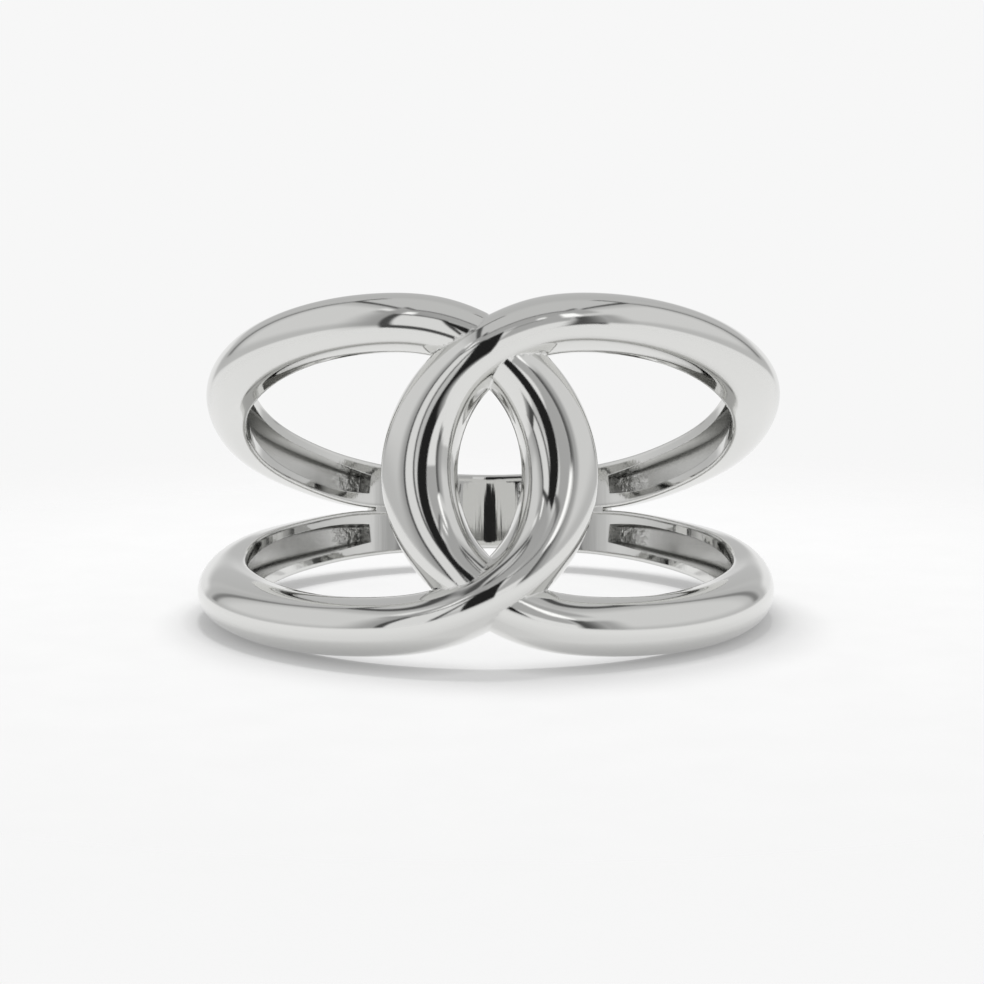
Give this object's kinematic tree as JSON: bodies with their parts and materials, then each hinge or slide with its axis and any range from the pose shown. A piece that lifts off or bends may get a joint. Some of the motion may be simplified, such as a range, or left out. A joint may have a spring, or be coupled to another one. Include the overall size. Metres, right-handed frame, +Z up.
{
  "type": "infinity knot ring",
  "caption": "Polished finger ring whose two open loops link at the front and run together into one plain band at the back.",
  "frame": {"origin": "middle of the base, on the surface the ring lies on", "axes": "+Z up from the surface the ring lies on; -Y towards the knot at the front, +Y towards the plain band at the back, +X to the right of the knot seen from the front; the finger's axis leans 13.2 degrees from +Z towards +Y"},
  "size_m": [0.0206, 0.0212, 0.012],
  "materials": {
    "polished_metal": "mirror polish"
  },
  "bodies": {
    "root": {"knot_ring": "polished_metal"}
  },
  "joints": []
}
